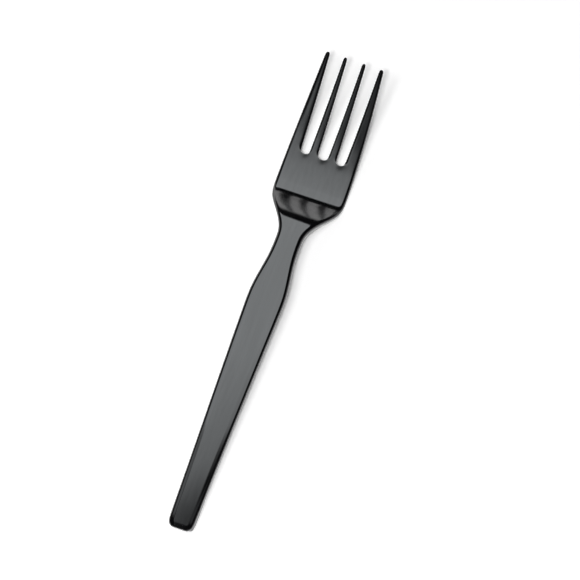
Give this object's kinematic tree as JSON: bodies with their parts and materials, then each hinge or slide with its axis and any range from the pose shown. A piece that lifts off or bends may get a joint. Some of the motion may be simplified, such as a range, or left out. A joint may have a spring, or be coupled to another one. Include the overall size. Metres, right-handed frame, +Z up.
{
  "type": "table fork",
  "caption": "Moulded plastic table fork with an arched channel handle, a narrow neck, a stepped shoulder and a flat head whose tapered tines curve up.",
  "frame": {"origin": "on the surface that the fork lies on, below the middle of its length and width", "axes": "+X along the fork from the handle's end to the tips of the tines, +Y across it to the left as it is held, +Z up, out of the hollow side of the tines"},
  "size_m": [0.147, 0.0216, 0.0147],
  "materials": {
    "black_plastic": "semi-gloss moulded polystyrene"
  },
  "bodies": {
    "root": {"handle": "black_plastic", "neck": "black_plastic", "shoulder": "black_plastic", "head": "black_plastic", "tine_1": "black_plastic", "tine_2": "black_plastic", "tine_3": "black_plastic", "tine_4": "black_plastic"}
  },
  "joints": []
}
